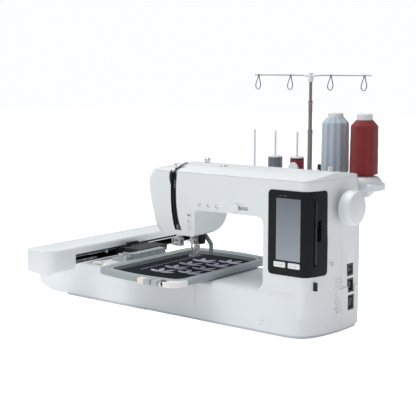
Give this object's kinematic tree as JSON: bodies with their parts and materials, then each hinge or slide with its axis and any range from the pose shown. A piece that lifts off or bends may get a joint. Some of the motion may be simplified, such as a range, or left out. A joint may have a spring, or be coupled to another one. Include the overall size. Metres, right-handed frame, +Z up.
{
  "type": "embroidery machine",
  "caption": "Computerised sewing and embroidery machine with a side-mounted embroidery unit, a clamped hoop, a touch panel and a rear thread stand with a telescopic mast.",
  "frame": {"origin": "centre of the bounding box on the surface that the feet stand on", "axes": "+X to the machine's right, from the embroidery unit to the handwheel; +Y to its back; +Z up"},
  "size_m": [0.7852, 0.498, 0.497],
  "materials": {
    "body_white": "satin gloss moulded plastic",
    "tray_white": "matt moulded plastic",
    "graphite": "gloss moulded plastic",
    "black": "matt moulded plastic",
    "screen": "gloss display window",
    "button_white": "satin gloss plastic",
    "steel": "bright nickel-plated steel",
    "mast_nickel": "nickel plate",
    "cast": "raw casting",
    "rubber": "matt",
    "hoop_grey": "fine satin moulded plastic",
    "cloth": "woven cotton",
    "cream": "satin gloss plastic",
    "thread_grey": "wound thread",
    "thread_crimson": "wound thread",
    "thread_silver": "wound polyester thread",
    "thread_red": "wound polyester thread"
  },
  "bodies": {
    "machine_body": {"base_tray": "tray_white", "foot_front_left": "rubber", "foot_front_right": "rubber", "foot_rear_left": "rubber", "foot_rear_right": "rubber", "front_shell": "body_white", "rear_shell": "body_white", "face_cover": "body_white", "top_cover": "body_white", "free_arm_cover": "body_white", "needle_plate": "steel", "chassis": "cast", "drive_belt": "rubber", "drive_motor": "cast", "panel_bezel": "graphite", "touch_screen": "screen", "socket_panel": "black", "thread_stand": "body_white", "mast_lower": "mast_nickel", "unit_housing": "body_white", "unit_tray": "tray_white", "x_guide_rail": "steel"},
    "main_drive": {"handwheel": "body_white", "main_shaft": "steel"},
    "lower_drive": {"lower_shaft": "steel"},
    "hook_drive": {"rotary_hook": "black"},
    "needle_bar_body": {"needle_bar": "steel", "needle": "steel"},
    "presser_body": {"presser_bar": "steel", "presser_foot": "steel"},
    "presser_lifter_body": {"presser_lifter": "hoop_grey"},
    "take_up_body": {"take_up_lever": "steel"},
    "speed_slider_body": {"speed_slider": "body_white"},
    "power_switch_body": {"power_switch": "black"},
    "winder_body": {"bobbin_winder_spindle": "steel"},
    "spool_grey_body": {"spool_grey": "thread_grey"},
    "spool_crimson_body": {"spool_crimson": "thread_crimson"},
    "cone_grey_body": {"cone_grey": "thread_silver"},
    "cone_red_body": {"cone_red": "thread_red"},
    "mast_middle_body": {"mast_middle": "mast_nickel"},
    "mast_upper_body": {"mast_upper": "mast_nickel"},
    "guide_bar_body": {"thread_guide_bar": "mast_nickel"},
    "stylus_body": {"stylus": "black"},
    "arm_body": {"arm_housing": "body_white", "arm_guide_rail": "steel"},
    "hoop_carriage": {"carriage": "black", "outer_hoop": "hoop_grey", "inner_hoop": "hoop_grey", "embroidery_cloth": "cloth"},
    "carriage_lever_body": {"carriage_lever": "black"},
    "hoop_screw_body": {"hoop_screw": "steel"},
    "hoop_lever_body": {"hoop_lever": "cream"},
    "panel_button_left_body": {"panel_button_left": "button_white"},
    "panel_button_right_body": {"panel_button_right": "button_white"},
    "needle_button_upper_body": {"needle_button_upper": "button_white"},
    "needle_button_middle_body": {"needle_button_middle": "button_white"},
    "needle_button_lower_body": {"needle_button_lower": "button_white"},
    "arm_button_left_body": {"arm_button_left": "button_white"},
    "arm_button_middle_body": {"arm_button_middle": "button_white"},
    "arm_button_right_body": {"arm_button_right": "button_white"}
  },
  "joints": [
    {"name": "handwheel_spin", "type": "hinge", "parent": "machine_body", "child": "main_drive", "pos_m": [0.3644, -0.0175, 0.245], "axis": [1, 0, 0], "continuous": true},
    {"name": "lower_shaft_spin", "type": "hinge", "parent": "machine_body", "child": "lower_drive", "pos_m": [0.1334, -0.0175, 0.042], "axis": [1, 0, 0], "continuous": true},
    {"name": "hook_spin", "type": "hinge", "parent": "machine_body", "child": "hook_drive", "pos_m": [0.0054, -0.0555, 0.06], "axis": [0, 0, 1], "continuous": true},
    {"name": "needle_bar_slide", "type": "slide", "parent": "machine_body", "child": "needle_bar_body", "axis": [0, 0, 1], "range_m": [-0.022, 0]},
    {"name": "presser_slide", "type": "slide", "parent": "machine_body", "child": "presser_body", "axis": [0, 0, 1], "range_m": [-0.009, 0]},
    {"name": "presser_lifter_hinge", "type": "hinge", "parent": "machine_body", "child": "presser_lifter_body", "pos_m": [0.0074, -0.0135, 0.24], "axis": [0, 1, 0], "range_deg": [0, 20]},
    {"name": "take_up_hinge", "type": "hinge", "parent": "machine_body", "child": "take_up_body", "pos_m": [0.0244, -0.0855, 0.262], "axis": [1, 0, 0], "range_deg": [0, 14]},
    {"name": "speed_slider_slide", "type": "slide", "parent": "machine_body", "child": "speed_slider_body", "axis": [1, 0, 0], "range_m": [0, 0.021]},
    {"name": "power_switch_rock", "type": "hinge", "parent": "machine_body", "child": "power_switch_body", "pos_m": [0.3584, 0.0125, 0.056], "axis": [0, 1, 0], "range_deg": [-8, 0]},
    {"name": "winder_spin", "type": "hinge", "parent": "machine_body", "child": "winder_body", "pos_m": [0.3064, -0.0215, 0.31], "axis": [0, 0, 1], "continuous": true},
    {"name": "spool_grey_spin", "type": "hinge", "parent": "machine_body", "child": "spool_grey_body", "pos_m": [0.1254, 0.0935, 0.3], "axis": [0, 0, 1], "continuous": true},
    {"name": "spool_crimson_spin", "type": "hinge", "parent": "machine_body", "child": "spool_crimson_body", "pos_m": [0.1804, 0.0935, 0.3], "axis": [0, 0, 1], "continuous": true},
    {"name": "cone_grey_spin", "type": "hinge", "parent": "machine_body", "child": "cone_grey_body", "pos_m": [0.2719, 0.0935, 0.34], "axis": [0, 0, 1], "continuous": true},
    {"name": "cone_red_spin", "type": "hinge", "parent": "machine_body", "child": "cone_red_body", "pos_m": [0.3384, 0.0935, 0.34], "axis": [0, 0, 1], "continuous": true},
    {"name": "mast_middle_slide", "type": "slide", "parent": "machine_body", "child": "mast_middle_body", "axis": [0, 0, 1], "range_m": [-0.025, 0]},
    {"name": "mast_upper_slide", "type": "slide", "parent": "mast_middle_body", "child": "mast_upper_body", "axis": [0, 0, 1], "range_m": [-0.02, 0]},
    {"name": "guide_bar_swivel", "type": "hinge", "parent": "mast_upper_body", "child": "guide_bar_body", "pos_m": [0.2114, 0.0935, 0.488], "axis": [0, 0, 1], "range_deg": [-90, 90]},
    {"name": "stylus_pull", "type": "slide", "parent": "machine_body", "child": "stylus_body", "axis": [1, 0, 0], "range_m": [0, 0.02]},
    {"name": "arm_x_slide", "type": "slide", "parent": "machine_body", "child": "arm_body", "axis": [1, 0, 0], "range_m": [-0.086, 0.07]},
    {"name": "carriage_y_slide", "type": "slide", "parent": "arm_body", "child": "hoop_carriage", "axis": [0, 1, 0], "range_m": [-0.103, 0.154]},
    {"name": "carriage_lever_hinge", "type": "hinge", "parent": "hoop_carriage", "child": "carriage_lever_body", "pos_m": [-0.1956, -0.0195, 0.113], "axis": [0, 0, 1], "range_deg": [-45, 0]},
    {"name": "hoop_screw_turn", "type": "hinge", "parent": "hoop_carriage", "child": "hoop_screw_body", "pos_m": [0.0634, -0.235, 0.097], "axis": [1, 0, 0], "continuous": true},
    {"name": "hoop_lever_hinge", "type": "hinge", "parent": "hoop_carriage", "child": "hoop_lever_body", "pos_m": [0.0983, -0.233, 0.097], "axis": [0, 0, 1], "range_deg": [-70, 0]},
    {"name": "panel_button_left_press", "type": "slide", "parent": "machine_body", "child": "panel_button_left_body", "axis": [0, 1, 0], "range_m": [0, 0.0012], "stiffness_N_per_m": 400},
    {"name": "panel_button_right_press", "type": "slide", "parent": "machine_body", "child": "panel_button_right_body", "axis": [0, 1, 0], "range_m": [0, 0.0012], "stiffness_N_per_m": 400},
    {"name": "needle_button_upper_press", "type": "slide", "parent": "machine_body", "child": "needle_button_upper_body", "axis": [0, 1, 0], "range_m": [0, 0.0012], "stiffness_N_per_m": 400},
    {"name": "needle_button_middle_press", "type": "slide", "parent": "machine_body", "child": "needle_button_middle_body", "axis": [0, 1, 0], "range_m": [0, 0.0012], "stiffness_N_per_m": 400},
    {"name": "needle_button_lower_press", "type": "slide", "parent": "machine_body", "child": "needle_button_lower_body", "axis": [0, 1, 0], "range_m": [0, 0.0012], "stiffness_N_per_m": 400},
    {"name": "arm_button_left_press", "type": "slide", "parent": "machine_body", "child": "arm_button_left_body", "axis": [0, 1, 0], "range_m": [0, 0.0012], "stiffness_N_per_m": 400},
    {"name": "arm_button_middle_press", "type": "slide", "parent": "machine_body", "child": "arm_button_middle_body", "axis": [0, 1, 0], "range_m": [0, 0.0012], "stiffness_N_per_m": 400},
    {"name": "arm_button_right_press", "type": "slide", "parent": "machine_body", "child": "arm_button_right_body", "axis": [0, 1, 0], "range_m": [0, 0.0012], "stiffness_N_per_m": 400}
  ],
  "couplings": [
    {"joint": "lower_shaft_spin", "follows": "handwheel_spin", "ratio": 1},
    {"joint": "hook_spin", "follows": "handwheel_spin", "ratio": 2},
    {"joint": "presser_lifter_hinge", "follows": "presser_slide", "rad_per_m": -38.785}
  ]
}
